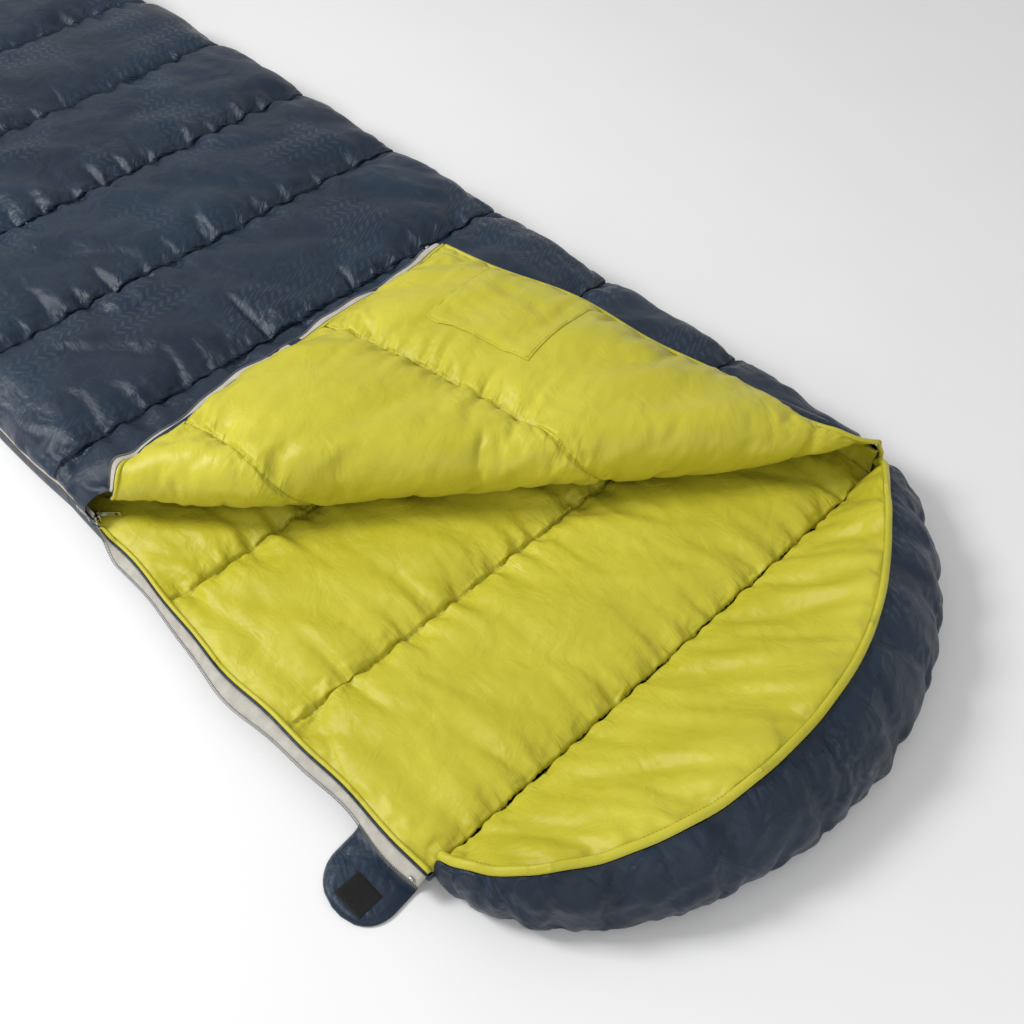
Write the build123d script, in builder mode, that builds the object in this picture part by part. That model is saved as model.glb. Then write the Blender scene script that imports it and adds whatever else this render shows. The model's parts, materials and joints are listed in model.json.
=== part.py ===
from build123d import *
import math
import os

# Rectangular sleeping bag with a half-round hood, its cover's head corner folded back.
# Frame: +X across the bag towards the sewn long side, +Y towards the foot, +Z up.
# The origin is on the floor, 840 mm from the hood seam.

# Driving dimensions, in mm
zip_x = -386.0  # long side with the zip
sewn_x = 400.0  # long side that is sewn shut
hood_seam_y = -840.0
foot_y = 1100.0
bay_count = 8  # quilted bays between the hood seam and the foot
fabric = 1.5  # cloth with its facing
crown = 44.0  # thickness of one quilted layer at its crowns
seam_sink = 12.0  # depth of a quilting seam below the crowns
sleep_gap = 10.0  # air between the two layers
fold_gap = 6.0  # air between the closed cover and the corner folded back over it
fold_start = (-385.0, -198.0)  # where the fold crosses the zip side
fold_angle = 40.0  # between the fold and the hood seam
nose_radius = 41.0  # roundness of the layers' ends at the fold
seam_end_y = -829.0  # the long side's seam stops here, clear of the hood's rim as it folds
joint_gap = 0.5  # clearance each side of a line where bodies meet
edge_run = 70.0  # width over which a layer thins towards its outer edge
flap_corner_x = -318.0  # closed zip edge of the flap at its hem
flap_far_x = 345.0

# Zip, standing on edge along the bag's side
tape_width = 12.5
tape_thickness = 1.2
chain_z = 49.5  # middle of the closed chain
coil_height = 2.2
coil_depth = 2.8
blade_gap = 1.6  # between the coil rows, room for the slider's blade
chain_head_y = -716.0
chain_foot_y = 1062.0
stop_length = 6.0
slider_y = -187.0
slider_length = 24.0
slider_width = 13.5
plate = 1.6
channel = 3.6
pin_radius = 0.9
pull_length = 30.0
pull_width = 8.0
pull_thickness = 1.5
inner_pull_angle = -45.0  # inner pull at rest, from +X

# Hood
hood_half = 400.0
hood_depth = 264.0
rim_depth = 206.0
rim_slope = 18.3  # degrees by which the rim rises away from the bag
rim_start_z = 50.0
bowl_floor_z = 30.0
bowl_half = 340.0
bowl_depth = 150.0
rim_width = 12.0
rim_height = 9.0

# Guard tab at the zip's head end, with its hook patch, and the loop patch it closes on
guard_near_y = -737.0
guard_far_y = -829.0
guard_reach = 104.0
guard_hinge_z = 51.6
guard_thickness = 1.6
hook_size = (34.0, 40.0)
hook_centre = (-464.0, -797.0)
patch_thickness = 1.4
loop_size = (36.0, 44.0)
loop_centre = (-300.0, -800.0)

# Pocket on the flap's lining, in its place with the flap closed
pocket_x = (-215.0, -45.0)
pocket_y = (-825.0, -670.0)
pocket_drop = 7.5

# Worked out from these
bag_length = foot_y - hood_seam_y
cover_low = crown + sleep_gap
cover_high = cover_low + crown
fold_z = cover_high + fold_gap / 2
nose_z = cover_high + 1
hood_x = (zip_x + sewn_x) / 2
hood_y = hood_seam_y - 2 * joint_gap
coil_x = zip_x - tape_thickness / 2
row_offset = (blade_gap + coil_height) / 2
beyond = 3000.0  # longer than the bag, for blocks that cut or limit others

# Heights of each layer's two faces: crown, quilting seam, outer edge
base_bottom = (0.0, 0.0, 24.0)
base_top = (crown, crown - seam_sink, crown - 6)
cover_bottom = (cover_low, cover_low + 7, cover_low + 5)
cover_top = (cover_high, cover_high - seam_sink, cover_high - 14)
flap_bottom = (cover_low, cover_low + 7, cover_low)
flap_top = (cover_high, cover_high - seam_sink, cover_high)

os.makedirs("parts", exist_ok=True)


def save(solid, name):
    """Labels one finished piece and writes it."""
    solid.label = name
    export_step(solid, f"parts/{name}.step")


def layer(bottom, top, inset_bottom=0.0, inset_top=0.0, inset_edge=0.0):
    """One quilted layer of the bag's full size, its faces and edges moved inwards."""
    bay = bag_length / bay_count
    left = zip_x + inset_edge
    right = sewn_x - inset_edge
    low_crown, low_seam, low_edge = [z + inset_bottom for z in bottom]
    top_crown, top_seam, top_edge = [z - inset_top for z in top]
    above = top_crown + 1  # the crowns stay clear of the block that shapes the long edges
    below = low_crown - 1
    with BuildPart() as block:
        with BuildSketch(Plane.YZ.offset(left)):
            with BuildLine():
                for i in range(bay_count):
                    near = hood_seam_y + i * bay
                    far = near + bay
                    ThreePointArc((near, top_seam), (near + bay / 2, top_crown), (far, top_seam))
                    if low_seam == low_crown:
                        Line((near, low_seam), (far, low_seam))
                    else:
                        ThreePointArc((near, low_seam), (near + bay / 2, low_crown), (far, low_seam))
                Line((hood_seam_y, low_seam), (hood_seam_y, top_seam))
                Line((foot_y, low_seam), (foot_y, top_seam))
            make_face()
        extrude(amount=right - left)
        with BuildSketch(Plane.XZ.offset(inset_edge - foot_y)):
            with BuildLine():
                for edge, level in ((top_edge, above), (low_edge, below)):
                    Line((left + edge_run, level), (right - edge_run, level))
                    edge_line((left + edge_run, level), (left, edge))
                    edge_line((right - edge_run, level), (right, edge))
                Line((left, low_edge), (left, top_edge))
                Line((right, low_edge), (right, top_edge))
            make_face()
        extrude(amount=bag_length - 2 * inset_edge, mode=Mode.INTERSECT)
    return block.part


def edge_line(inner, outer):
    """Runs level from a face's flat part and curves to its outer edge."""
    if inner[1] == outer[1]:
        Line(inner, outer)
    else:
        TangentArc(inner, outer, tangent=(outer[0] - inner[0], 0))


def fold_plane():
    """Plane across the fold: local X points out over the fold, local Y is up."""
    angle = math.radians(fold_angle)
    outwards = (-math.sin(angle), -math.cos(angle), 0)
    along = (-math.cos(angle), math.sin(angle), 0)
    return Plane(origin=(*fold_start, 0), x_dir=outwards, z_dir=along)


def fold_side(side, inset=0.0):
    """Space on one side of the fold (-1 is the foot's, 1 the head's), its nose rounded below."""
    radius = nose_radius - inset
    end = side * (joint_gap + inset)
    centre = side * (joint_gap + nose_radius)
    diagonal = radius * math.sqrt(0.5)
    with BuildPart() as block:
        with BuildSketch(fold_plane()):
            with BuildLine():
                Polyline(
                    (centre, nose_z - radius),
                    (centre, 0),
                    (side * beyond, 0),
                    (side * beyond, cover_high + crown),
                    (end, cover_high + crown),
                    (end, nose_z),
                )
                ThreePointArc(
                    (end, nose_z),
                    (centre - side * diagonal, nose_z - diagonal),
                    (centre, nose_z - radius),
                )
            make_face()
        extrude(amount=beyond, both=True)
    return block.part


def flap_plan(inset=0.0):
    """Outline of the folded corner in its closed place, as a tall block."""
    hem = hood_seam_y + 2 + inset
    with BuildPart() as block:
        with BuildSketch():
            with BuildLine():
                Polyline(
                    (fold_start[0] + inset, 0),
                    (fold_start[0] + inset, fold_start[1]),
                    (flap_corner_x + inset, hem),
                    (flap_far_x - inset, hem),
                    (flap_far_x - inset, 0),
                    close=True,
                )
            make_face()
        extrude(amount=2 * cover_high)
    return block.part


def opened(solid):
    """Turns a piece of the flap from its closed place over the fold."""
    along = fold_plane().z_dir
    return solid.rotate(Axis((*fold_start, fold_z), (along.X, along.Y, 0)), 180)


def bar(x_range, y_range, z_range):
    """Straight rectangular bar between the given limits."""
    with BuildPart() as block:
        with BuildSketch(Plane.XY.offset(z_range[0])):
            with Locations((sum(x_range) / 2, sum(y_range) / 2)):
                Rectangle(x_range[1] - x_range[0], y_range[1] - y_range[0])
        extrude(amount=z_range[1] - z_range[0])
    return block.part


# Base: the layer that lies on the floor
base_outer = layer(base_bottom, base_top)
base_below_lining = layer(base_bottom, base_top, 0, fabric, 0)
base_core = layer(base_bottom, base_top, fabric, fabric, fabric)

with BuildPart() as bottom_lining:
    add(base_outer)
    add(base_below_lining, mode=Mode.SUBTRACT)
save(bottom_lining.part, "bottom_lining")

with BuildPart() as bottom_shell:
    add(base_below_lining)
    add(base_core, mode=Mode.SUBTRACT)
save(bottom_shell.part, "bottom_shell")

with BuildPart() as bottom_fill:
    add(base_core)
save(bottom_fill.part, "bottom_fill")

# Cover: the part that stays closed, its nose under the fold
foot_side = fold_side(-1)
foot_side_core = fold_side(-1, fabric)
cover_outer = layer(cover_bottom, cover_top)
cover_below_shell = layer(cover_bottom, cover_top, 0, fabric, fabric)
cover_core = layer(cover_bottom, cover_top, fabric, fabric, fabric)

with BuildPart() as top_shell:
    add(cover_outer)
    add(foot_side, mode=Mode.INTERSECT)
    add(cover_below_shell, mode=Mode.SUBTRACT)
save(top_shell.part, "top_shell")

with BuildPart() as top_fill:
    add(cover_core)
    add(foot_side_core, mode=Mode.INTERSECT)
save(top_fill.part, "top_fill")

with BuildPart() as top_lining:
    add(cover_below_shell)
    add(foot_side, mode=Mode.INTERSECT)
    add(top_fill.part, mode=Mode.SUBTRACT)
save(top_lining.part, "top_lining")

# Seams that hold the two layers together along the sewn side and the foot
seam_z = (base_bottom[2] + fabric, cover_top[2] - fabric)

with BuildPart() as side_seam:
    add(bar((sewn_x - fabric, sewn_x), (seam_end_y, foot_y), seam_z))
    add(base_outer, mode=Mode.SUBTRACT)
    add(cover_outer, mode=Mode.SUBTRACT)
save(side_seam.part, "side_seam")

with BuildPart() as foot_seam:
    add(bar((zip_x + 2, sewn_x - fabric), (foot_y - fabric, foot_y), seam_z))
    add(base_outer, mode=Mode.SUBTRACT)
    add(cover_outer, mode=Mode.SUBTRACT)
save(foot_seam.part, "foot_seam")

# Flap: the cover's head corner, made in its closed place and turned over the fold
head_side = fold_side(1)
flap_plan_core = flap_plan(fabric)
flap_plan_outer = flap_plan()
flap_outer = layer(flap_bottom, flap_top)
flap_below_shell = layer(flap_bottom, flap_top, 0, fabric, 0)
flap_core = layer(flap_bottom, flap_top, fabric, fabric, 0)

with BuildPart() as flap_body:
    add(flap_outer)
    add(flap_plan_outer, mode=Mode.INTERSECT)
    add(head_side, mode=Mode.INTERSECT)

with BuildPart() as flap_inner:
    add(flap_below_shell)
    add(flap_plan_core, mode=Mode.INTERSECT)
    add(head_side, mode=Mode.INTERSECT)

with BuildPart() as flap_shell:
    add(flap_body.part)
    add(flap_inner.part, mode=Mode.SUBTRACT)
save(opened(flap_shell.part), "flap_shell")

with BuildPart() as flap_fill:
    add(flap_core)
    add(flap_plan_core, mode=Mode.INTERSECT)
    add(fold_side(1, fabric), mode=Mode.INTERSECT)
save(opened(flap_fill.part), "flap_fill")

with BuildPart() as flap_lining:
    add(flap_inner.part)
    add(flap_fill.part, mode=Mode.SUBTRACT)
save(opened(flap_lining.part), "flap_lining")

# Patch pocket on the flap's lining, open towards the hem
with BuildPart() as inner_pocket:
    with BuildSketch(Plane.XY.offset(cover_low - pocket_drop)):
        with Locations((sum(pocket_x) / 2, sum(pocket_y) / 2)):
            Rectangle(pocket_x[1] - pocket_x[0], pocket_y[1] - pocket_y[0])
    extrude(amount=2 * pocket_drop)
    with BuildSketch(Plane.XY.offset(cover_low - pocket_drop + fabric)):
        with Locations((sum(pocket_x) / 2, sum(pocket_y) / 2 - fabric / 2)):
            Rectangle(pocket_x[1] - pocket_x[0] - 2 * fabric, pocket_y[1] - pocket_y[0] - fabric)
    extrude(amount=2 * pocket_drop, mode=Mode.SUBTRACT)
    add(flap_body.part, mode=Mode.SUBTRACT)
save(opened(inner_pocket.part), "inner_pocket")

# Loop patch on the flap's outer side, where the guard tab's hook patch lands
patch_layer = layer(flap_bottom, flap_top, 0, -patch_thickness, 0)

with BuildPart() as loop_patch:
    with BuildSketch(Plane.XY.offset(cover_high - crown / 2)):
        with Locations(loop_centre):
            Rectangle(*loop_size)
    extrude(amount=crown)
    add(patch_layer, mode=Mode.INTERSECT)
    add(flap_body.part, mode=Mode.SUBTRACT)
save(opened(loop_patch.part), "loop_patch")

# Zip: lower half along the base, upper half along the closed cover
tape_x = (zip_x - tape_thickness, zip_x)
coil_range_x = (coil_x - coil_depth / 2, coil_x + coil_depth / 2)
lower_row_z = (chain_z - row_offset - coil_height / 2, chain_z - blade_gap / 2)
upper_row_z = (chain_z + blade_gap / 2, chain_z + row_offset + coil_height / 2)
split_y = slider_y + slider_length / 2 - 4
chain_open = (chain_head_y, split_y)
chain_closed = (split_y, chain_foot_y)

with BuildPart() as zip_tape_lower:
    add(bar(tape_x, (chain_head_y - 10, foot_y - 2), (lower_row_z[0] - tape_width, lower_row_z[0])))
save(zip_tape_lower.part, "zip_tape_lower")

with BuildPart() as zip_coil_lower:
    add(bar(coil_range_x, (chain_head_y, chain_foot_y), lower_row_z))
save(zip_coil_lower.part, "zip_coil_lower")

with BuildPart() as zip_tape_upper:
    add(bar(tape_x, (split_y, foot_y - 2), (upper_row_z[1], upper_row_z[1] + tape_width)))
save(zip_tape_upper.part, "zip_tape_upper")

with BuildPart() as zip_coil_upper:
    add(bar(coil_range_x, chain_closed, upper_row_z))
save(zip_coil_upper.part, "zip_coil_upper")

with BuildPart() as zip_foot_stop:
    add(bar(coil_range_x, (chain_foot_y, chain_foot_y + stop_length), (lower_row_z[0], upper_row_z[1])))
save(zip_foot_stop.part, "zip_foot_stop")

with BuildPart() as zip_head_stop_lower:
    add(bar(coil_range_x, (chain_head_y - stop_length, chain_head_y), lower_row_z))
save(zip_head_stop_lower.part, "zip_head_stop_lower")


# The flap's own stretch of zip, along its zip edge and just inside its outer face
def flap_edge_plane():
    """Plane at the flap's outer face: local X runs along the zip edge, local Y points inwards."""
    run = (flap_corner_x - fold_start[0], hood_seam_y + 2 - fold_start[1], 0)
    return Plane(origin=(*fold_start, cover_high - tape_thickness), x_dir=run, z_dir=(0, 0, 1))


def flap_edge_strip(along, across, height):
    """Straight strip beside the flap's zip edge; along and across are ranges on its plane."""
    with BuildPart() as block:
        with BuildSketch(flap_edge_plane()):
            with Locations((sum(along) / 2, sum(across) / 2)):
                Rectangle(along[1] - along[0], across[1] - across[0])
        extrude(amount=height)
    return block.part


flap_edge_length = math.hypot(flap_corner_x - fold_start[0], hood_seam_y + 2 - fold_start[1])
flap_chain = (12.0, flap_edge_length - 30)

with BuildPart() as zip_tape_flap:
    add(flap_edge_strip((4, flap_edge_length - 12), (-tape_width, 0), tape_thickness))
save(opened(zip_tape_flap.part), "zip_tape_flap")

with BuildPart() as zip_coil_flap:
    add(flap_edge_strip(flap_chain, (-tape_width - coil_depth, -tape_width), coil_height))
save(opened(zip_coil_flap.part), "zip_coil_flap")

with BuildPart() as zip_head_stop_flap:
    stop_range = (flap_chain[1], flap_chain[1] + stop_length)
    add(flap_edge_strip(stop_range, (-tape_width - coil_depth, -tape_width), coil_height))
save(opened(zip_head_stop_flap.part), "zip_head_stop_flap")


# Hood
def half_oval(half, depth):
    """Half an ellipse on the local X axis, bulging towards local -Y; for use inside a sketch."""
    Ellipse(half, depth)
    with Locations((0, depth)):
        Rectangle(2 * half + 2, 2 * depth, mode=Mode.SUBTRACT)


def rim_plane():
    """Sloping plane that the hood's rim stands on, its local X axis above the hood seam."""
    slope = math.radians(rim_slope)
    normal = (0, math.sin(slope), math.cos(slope))
    return Plane(origin=(hood_x, hood_y, rim_start_z), x_dir=(1, 0, 0), z_dir=normal)


def hood_block(inset):
    """Outside of the hood, from the floor up to its sloping rim."""
    with BuildPart() as block:
        with BuildSketch(Plane((hood_x, hood_y, 0))):
            half_oval(hood_half - inset, hood_depth - inset)
        with BuildSketch(rim_plane()):
            half_oval(hood_half - inset, rim_depth - inset)
        loft(ruled=True)
    return block.part


def head_hollow(outset):
    """Hollow that the head lies in, open upwards and towards the bag."""
    with BuildPart() as block:
        with BuildSketch(Plane((hood_x, hood_y, bowl_floor_z - outset))):
            half_oval(bowl_half + outset, bowl_depth + outset)
        with BuildSketch(rim_plane()):
            half_oval(hood_half - rim_width + outset, rim_depth - rim_width + outset)
        loft(ruled=True)
    return block.part


def hood_slab(low, high):
    """Level slice of space as wide and deep as the hood."""
    reach = (hood_y - 2 * hood_depth, hood_y)
    return bar((hood_x - hood_half - 1, hood_x + hood_half + 1), reach, (low, high))


hood_outer = hood_block(0)
hood_inner = hood_block(fabric)
hollow = head_hollow(0)
hollow_outer = head_hollow(fabric)
hood_top_z = 200.0

with BuildPart() as hood_floor_shell:
    add(hood_outer)
    add(hood_slab(0, fabric), mode=Mode.INTERSECT)
save(hood_floor_shell.part, "hood_floor_shell")

with BuildPart() as hood_wall_shell:
    add(hood_outer)
    add(hood_slab(fabric, hood_top_z), mode=Mode.INTERSECT)
    add(hood_inner, mode=Mode.SUBTRACT)
save(hood_wall_shell.part, "hood_wall_shell")

with BuildPart() as hood_floor_fill:
    add(hood_inner)
    add(hood_slab(fabric, bowl_floor_z - fabric), mode=Mode.INTERSECT)
save(hood_floor_fill.part, "hood_floor_fill")

with BuildPart() as hood_wall_fill:
    add(hood_inner)
    add(hood_slab(bowl_floor_z - fabric, hood_top_z), mode=Mode.INTERSECT)
    add(hollow_outer, mode=Mode.SUBTRACT)
save(hood_wall_fill.part, "hood_wall_fill")

with BuildPart() as hood_lining:
    add(hollow_outer)
    add(hollow, mode=Mode.SUBTRACT)
save(hood_lining.part, "hood_lining")

with BuildPart() as hood_rim:
    with BuildSketch(rim_plane()):
        half_oval(hood_half, rim_depth)
    extrude(amount=rim_height)
    with BuildSketch(rim_plane()):
        half_oval(hood_half - rim_width, rim_depth - rim_width)
    extrude(amount=rim_height, mode=Mode.SUBTRACT)
save(hood_rim.part, "hood_rim")

# Guard tab: hangs from the zip's head end and lies out on the floor
guard_x = zip_x - 0.3
guard_y = (guard_far_y, guard_near_y)
guard_corner = 30.0

with BuildPart() as guard_tab:
    with BuildSketch():
        with Locations((guard_x - guard_reach / 2, sum(guard_y) / 2)):
            Rectangle(guard_reach, guard_y[1] - guard_y[0])
    extrude(amount=guard_thickness)
    outer_face = guard_tab.faces().sort_by(Axis.X)[0]
    fillet(outer_face.edges().filter_by(Axis.Z), radius=guard_corner)
    add(bar((guard_x - guard_thickness, guard_x), guard_y, (guard_thickness, guard_hinge_z)))
save(guard_tab.part, "guard_tab")

# The hook patch lands on the loop patch once the tab is turned over the zip
with BuildPart() as hook_patch:
    with BuildSketch(Plane.XY.offset(guard_thickness)):
        with Locations(hook_centre):
            Rectangle(*hook_size)
    extrude(amount=patch_thickness)
save(hook_patch.part, "hook_patch")


# Slider: two plates round the coils, a blade between the rows, and lugs for a pull on each side
half_length = slider_length / 2
channel_x = (coil_x - channel / 2, coil_x + channel / 2)
slot_x = (coil_x - tape_thickness / 2 - 0.3, coil_x + tape_thickness / 2 + 0.3)
outer_face_x = channel_x[0] - plate
inner_face_x = channel_x[1] + plate
blade_y = (slider_y - half_length + 1, slider_y - half_length + 10)
blade_half = blade_gap / 2 - 0.15
flange = 1.0
pin_stand = 2.6  # height of a pull's pin above its plate
lug_low = 2.8
lug_high = 4.2
lug_half_length = 2.0
outer_pin_x = outer_face_x - pin_stand
inner_pin_x = inner_face_x + pin_stand


def slider_cut(x_range, half_height):
    """Lengthwise cut through the slider, centred on the chain."""
    y_range = (slider_y - half_length, slider_y + half_length)
    return bar(x_range, y_range, (chain_z - half_height, chain_z + half_height))


def lugs(face_x, pin_x):
    """Two ears that stand on a plate and hold the pull's pin."""
    low, high = sorted((face_x, pin_x + math.copysign(lug_half_length - 0.3, pin_x - face_x)))
    with BuildPart() as block:
        with BuildSketch(Plane.XY.offset(chain_z - lug_high)):
            with Locations(((low + high) / 2, slider_y)):
                Rectangle(high - low, 2 * lug_half_length)
            with Locations((pin_x, slider_y)):
                Circle(pin_radius, mode=Mode.SUBTRACT)
        extrude(amount=2 * lug_high)
        with BuildSketch(Plane.XY.offset(chain_z - lug_low)):
            with Locations(((low + high) / 2, slider_y)):
                Rectangle(high - low, 2 * lug_half_length)
        extrude(amount=2 * lug_low, mode=Mode.SUBTRACT)
    return block.part


def pin(pin_x):
    """Cross pin that a pull turns on, flush with the ears."""
    with BuildPart() as block:
        with BuildSketch(Plane.XY.offset(chain_z - lug_high)):
            with Locations((pin_x, slider_y)):
                Circle(pin_radius)
        extrude(amount=2 * lug_high)
    return block.part


def pull(pin_x):
    """Flat pull tab pointing to the foot: knuckle, narrow neck, plate with a round hole."""
    neck_half = lug_low - 0.15
    shoulder = 3.4
    tip = slider_y + pull_length
    with BuildPart() as block:
        with BuildSketch(Plane.YZ.offset(pin_x - pull_thickness / 2)):
            with Locations((slider_y + shoulder / 2, chain_z)):
                Rectangle(shoulder, 2 * neck_half)
            with Locations(((slider_y + shoulder + tip) / 2, chain_z)):
                RectangleRounded(pull_length - shoulder, pull_width, 1.5)
            with Locations((tip - 6, chain_z)):
                Circle(2.6, mode=Mode.SUBTRACT)
        extrude(amount=pull_thickness)
        with BuildSketch(Plane.XY.offset(chain_z - neck_half)):
            with Locations((pin_x, slider_y)):
                Circle(pin_radius + 1)
        extrude(amount=2 * neck_half)
        with BuildSketch(Plane.XY.offset(chain_z - neck_half)):
            with Locations((pin_x, slider_y)):
                Circle(pin_radius + 0.1)
        extrude(amount=2 * neck_half, mode=Mode.SUBTRACT)
    return block.part


outer_lugs = lugs(outer_face_x, outer_pin_x)
inner_lugs = lugs(inner_face_x, inner_pin_x)
channel_cut = slider_cut(channel_x, slider_width / 2 - flange)
slot_cut = slider_cut(slot_x, slider_width / 2)
blade = bar(channel_x, blade_y, (chain_z - blade_half, chain_z + blade_half))

with BuildPart() as slider_body:
    with BuildSketch(Plane.YZ.offset(outer_face_x)):
        with Locations((slider_y, chain_z)):
            RectangleRounded(slider_length, slider_width, 3)
    extrude(amount=inner_face_x - outer_face_x)
    add(channel_cut, mode=Mode.SUBTRACT)
    add(slot_cut, mode=Mode.SUBTRACT)
    add(blade)
    add(outer_lugs)
    add(inner_lugs)
save(slider_body.part, "slider_body")

save(pin(outer_pin_x), "outer_pin")
save(pin(inner_pin_x), "inner_pin")
save(pull(outer_pin_x), "outer_pull")

inner_pin_axis = Axis((inner_pin_x, slider_y, 0), (0, 0, 1))
save(pull(inner_pin_x).rotate(inner_pin_axis, inner_pull_angle - 90), "inner_pull")
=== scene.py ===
import bpy
import bmesh
import json
import math
import numpy as np
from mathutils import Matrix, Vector
from mathutils.bvhtree import BVHTree
from mathutils.interpolate import poly_3d_calc


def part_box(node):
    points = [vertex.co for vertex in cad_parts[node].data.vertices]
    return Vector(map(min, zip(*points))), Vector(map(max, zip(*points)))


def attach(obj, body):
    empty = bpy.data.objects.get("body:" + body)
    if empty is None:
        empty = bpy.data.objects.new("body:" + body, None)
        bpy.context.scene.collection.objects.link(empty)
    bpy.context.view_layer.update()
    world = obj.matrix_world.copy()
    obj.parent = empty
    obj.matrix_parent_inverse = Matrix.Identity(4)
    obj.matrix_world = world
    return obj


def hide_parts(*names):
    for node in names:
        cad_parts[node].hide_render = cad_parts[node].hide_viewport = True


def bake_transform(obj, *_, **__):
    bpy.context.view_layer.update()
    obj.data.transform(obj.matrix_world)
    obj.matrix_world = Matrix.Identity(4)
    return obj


# Looks of a quilted rectangular sleeping bag. Lengths inside this script are millimetres in the
# row frame, as arrays; put() turns them into metres when it makes an object.
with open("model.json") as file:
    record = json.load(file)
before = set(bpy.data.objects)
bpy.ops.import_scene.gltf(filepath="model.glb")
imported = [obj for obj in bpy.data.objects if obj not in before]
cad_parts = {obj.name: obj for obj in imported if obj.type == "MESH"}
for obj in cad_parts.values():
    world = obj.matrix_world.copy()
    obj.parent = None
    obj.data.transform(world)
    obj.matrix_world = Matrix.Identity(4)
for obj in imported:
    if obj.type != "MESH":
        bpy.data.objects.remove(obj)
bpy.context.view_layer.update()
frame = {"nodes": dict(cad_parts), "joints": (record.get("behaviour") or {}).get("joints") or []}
MM = 0.001


UP = np.array([0.0, 0.0, 1.0])


def box_mm(node):
    """Lowest and highest corner of a CAD node, in mm."""
    low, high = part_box(node)
    return np.array(low) / MM, np.array(high) / MM


def joint(name):
    """The joint of that name."""
    return [j for j in frame["joints"] if j["name"] == name][0]


# ---- sizes from the frame
base_low, base_high = box_mm("bottom_lining")
hood_low, hood_high = box_mm("hood_floor_shell")
rim_low, rim_high = box_mm("hood_rim")
ZIP_X, SEWN_X = base_low[0], base_high[0]
SEAM_Y, FOOT_Y = base_low[1], base_high[1]
BAYS = 8  # quilted bays from the hood seam to the foot
OPEN_BAYS = 4  # those that show
BAY = (FOOT_Y - SEAM_Y) / BAYS
FINE, COARSE = BAY / 37, BAY / 14  # spacing of the net's rows where it shows and where it doesn't
CROWN = base_high[2]
SEAM_Z = CROWN - 19  # lining at a quilting seam
EDGE_Z = CROWN - 4  # top of the zip's edge
COVER_Z = box_mm("top_shell")[1][2]
COVER_UNDER = box_mm("top_lining")[0][2]
HOOD_X = (hood_low[0] + hood_high[0]) / 2
HOOD_A = (hood_high[0] - hood_low[0]) / 2
HOOD_B = hood_high[1] - hood_low[1]
RIM_TOP = rim_high[2]
RIM_B = rim_high[1] - rim_low[1] - 3
SLIDER_Y = (box_mm("slider_body")[0][1] + box_mm("slider_body")[1][1]) / 2
CHAIN_Z = (box_mm("slider_body")[0][2] + box_mm("slider_body")[1][2]) / 2

fold = joint("cover_fold")
FOLD_AT = np.array(fold["pos_m"][:2]) / MM
FOLD_Z = fold["pos_m"][2] / MM
ALONG = np.array(fold["axis"][:2])
OUT = np.array([-abs(ALONG[1]), -abs(ALONG[0])])
NOSE = FOLD_Z - COVER_UNDER

# ---- small numeric tools


def smooth(t):
    """Smooth step from 0 to 1."""
    t = np.clip(t, 0, 1)
    return t * t * (3 - 2 * t)


def mix(a, b, t):
    return a * (1 - t) + b * t


def stack(*parts):
    """Arrays of one shape, or that broadcast to one, as the columns of a new last axis."""
    return np.stack(np.broadcast_arrays(*parts), -1)


def unit(vectors):
    return vectors / (np.linalg.norm(vectors, axis=-1, keepdims=True) + 1e-9)


def between(spot, travel, values):
    """Rows of values at distances along a path whose points lie at the given travel."""
    return stack(*(np.interp(spot, travel, values[:, i]) for i in range(3)))


def ripple(x, y, size, seed, waves=9):
    """Soft random relief between about -1 and 1, with features near the given size in mm."""
    rng = np.random.default_rng(seed)
    total = np.zeros(np.broadcast(x, y).shape)
    for _ in range(waves):
        angle = rng.uniform(0, math.tau)
        rate = math.tau / size * rng.uniform(0.55, 1.6)
        phase = rng.uniform(0, math.tau)
        total += np.sin(rate * (x * math.cos(angle) + y * math.sin(angle)) + phase)
    return total / math.sqrt(waves) / 1.4


def creases(x, y, size, seed, waves=5):
    """Like ripple, but with sharp valleys between rounded folds."""
    rng = np.random.default_rng(seed)
    x = x + 0.22 * size * ripple(x, y, size * 1.7, seed + 100)
    y = y + 0.22 * size * ripple(x, y, size * 1.3, seed + 200)
    total = np.zeros(np.broadcast(x, y).shape)
    for _ in range(waves):
        angle = rng.uniform(0, math.pi)
        rate = math.pi / size * rng.uniform(0.6, 1.5)
        phase = rng.uniform(0, math.tau)
        total += np.abs(np.sin(rate * (x * math.cos(angle) + y * math.sin(angle)) + phase)) - 0.64
    return total / math.sqrt(waves) * 1.5


def bay_part(y):
    """Place within a quilted bay, 0 at one seam and 1 at the next."""
    return np.mod((y - SEAM_Y) / BAY + 1e-9, 1.0)


def puff(y, power=2.4):
    """Crown of a bay: 0 at its seams and 1 in its middle."""
    return 1 - np.abs(2 * bay_part(y) - 1) ** power


def quarter(distance, width):
    """Quarter round: 0 at an edge, 1 at the given distance from it and beyond."""
    q = 1 - np.clip(distance / width, 0, 1)
    return np.sqrt(np.clip(1 - q * q, 0, 1))


def zip_edge(y):
    """The base lining's zip edge: pulled in at the slider, fuller towards the head."""
    open_part = smooth((SLIDER_Y - 15 - y) / 320)
    wave = 2.5 * np.sin(y / 61.0) + 1.5 * np.sin(y / 23.0 + 1)
    return ZIP_X + 1 - 15 * open_part + wave * smooth((SLIDER_Y - y) / 60) * 0.8


def cover_edge(y):
    """Zip edge of the closed cover."""
    return ZIP_X - 1 - 4 * puff(y) + 1.2 * np.sin(y / 37.0)


def sewn_edge(y):
    """The long side that is sewn shut."""
    return SEWN_X + 1 + 3.5 * puff(y) + 2 * np.sin(y / 83.0 + 2)


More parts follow.
